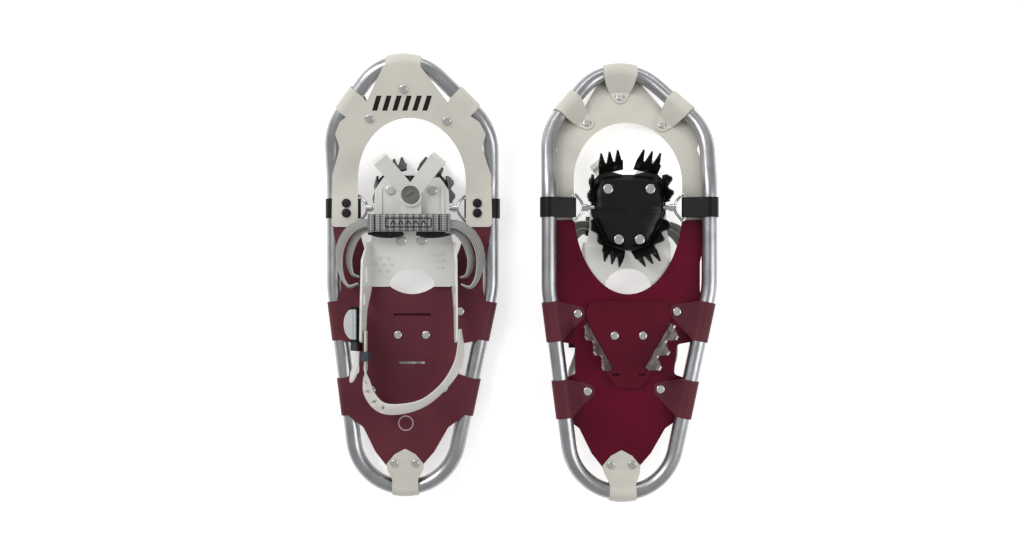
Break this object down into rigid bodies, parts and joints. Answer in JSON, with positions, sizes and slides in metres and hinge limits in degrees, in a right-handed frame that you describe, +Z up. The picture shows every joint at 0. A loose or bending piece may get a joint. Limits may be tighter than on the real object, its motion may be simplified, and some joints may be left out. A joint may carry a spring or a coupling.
{
  "type": "pair of snowshoes",
  "caption": "Aluminium-framed snowshoes with a wrapped deck, hinged bindings, toe and heel crampons and buckled straps; one deck up, one turned over.",
  "frame": {"origin": "on the floor at the middle of the pair", "axes": "+Y towards the toes, +Z up, the deck-up shoe at -X and the turned-over shoe at +X"},
  "size_m": [0.4788, 0.5371, 0.0799],
  "materials": {
    "frame_aluminium": "satin anodised",
    "light_deck": "matt",
    "burgundy_deck": "satin",
    "glossy_burgundy": "glossy",
    "rivet_metal": "bright",
    "black_metal": "satin black",
    "black_strap": "satin",
    "bright_wire": "bright",
    "bare_steel": "brushed",
    "black_pad": "satin",
    "white_plastic": "satin",
    "grey_webbing": "woven",
    "grey_weave": "woven",
    "black_plastic": "satin",
    "white_strap": "satin",
    "silver_plastic": "metallic",
    "slate_plastic": "satin"
  },
  "bodies": {
    "left_shoe": {"left_frame_tube": "frame_aluminium", "left_frame_spigot": "frame_aluminium", "left_toe_deck": "light_deck", "left_main_deck": "burgundy_deck", "left_tail_clip": "light_deck", "left_toe_deck_rivets": "rivet_metal", "left_deck_rivets": "rivet_metal", "left_heel_crampon_rivets": "rivet_metal", "left_tail_clip_rivets": "rivet_metal", "left_toe_strap_rivets": "black_metal", "left_toe_straps": "black_strap", "left_wire_loops": "bright_wire", "left_pivot_rod": "bright_wire", "left_heel_crampon": "bare_steel", "left_heel_crampon_cover": "glossy_burgundy"},
    "left_binding": {"left_toe_crampon": "black_metal", "left_crampon_pad": "black_pad", "left_crampon_rivets": "rivet_metal", "left_footbed": "white_plastic", "left_control_wings": "white_plastic", "left_hub_screw": "bare_steel", "left_instep_straps": "grey_webbing", "left_instep_plate": "grey_weave", "left_instep_cams": "black_plastic", "left_heel_strap": "white_strap", "left_heel_buckle_body": "black_plastic", "left_heel_buckle_pin": "bright_wire"},
    "left_heel_lever": {"left_heel_buckle_lever": "silver_plastic"},
    "left_keeper": {"left_strap_keeper": "slate_plastic"},
    "right_shoe": {"right_frame_tube": "frame_aluminium", "right_frame_spigot": "frame_aluminium", "right_toe_deck": "light_deck", "right_main_deck": "burgundy_deck", "right_tail_clip": "light_deck", "right_toe_deck_rivets": "rivet_metal", "right_deck_rivets": "rivet_metal", "right_heel_crampon_rivets": "rivet_metal", "right_tail_clip_rivets": "rivet_metal", "right_toe_strap_rivets": "black_metal", "right_toe_straps": "black_strap", "right_wire_loops": "bright_wire", "right_pivot_rod": "bright_wire", "right_heel_crampon": "bare_steel", "right_heel_crampon_cover": "glossy_burgundy"},
    "right_binding": {"right_toe_crampon": "black_metal", "right_crampon_pad": "black_pad", "right_crampon_rivets": "rivet_metal", "right_footbed": "white_plastic", "right_control_wings": "white_plastic", "right_hub_screw": "bare_steel", "right_instep_straps": "grey_webbing", "right_instep_plate": "grey_weave", "right_instep_cams": "black_plastic", "right_heel_strap": "white_strap", "right_heel_buckle_body": "black_plastic", "right_heel_buckle_pin": "bright_wire"},
    "right_heel_lever": {"right_heel_buckle_lever": "silver_plastic"},
    "right_keeper": {"right_strap_keeper": "slate_plastic"}
  },
  "joints": [
    {"name": "left_heel_lift", "type": "hinge", "parent": "left_shoe", "child": "left_binding", "pos_m": [-0.13175, 0.086, 0.03089], "axis": [-1, 0, 0], "range_deg": [0, 75]},
    {"name": "left_lever_open", "type": "hinge", "parent": "left_binding", "child": "left_heel_lever", "pos_m": [-0.19675, -0.054, 0.07589], "axis": [0, 1, 0], "range_deg": [0, 100]},
    {"name": "left_keeper_slide", "type": "slide", "parent": "left_binding", "child": "left_keeper", "axis": [0, 1, 0], "range_m": [-0.006, 0.006]},
    {"name": "right_heel_lift", "type": "hinge", "parent": "right_shoe", "child": "right_binding", "pos_m": [0.13175, 0.086, 0.049], "axis": [1, 0, 0], "range_deg": [0, 75]},
    {"name": "right_lever_open", "type": "hinge", "parent": "right_binding", "child": "right_heel_lever", "pos_m": [0.06675, -0.054, 0.004], "axis": [0, -1, 0], "range_deg": [0, 100]},
    {"name": "right_keeper_slide", "type": "slide", "parent": "right_binding", "child": "right_keeper", "axis": [0, 1, 0], "range_m": [-0.006, 0.006]},
    {"name": "right_shoe_lift", "type": "slide", "parent": "left_shoe", "child": "right_shoe", "axis": [0, 0, 1], "range_m": [0, 0.15]}
  ]
}
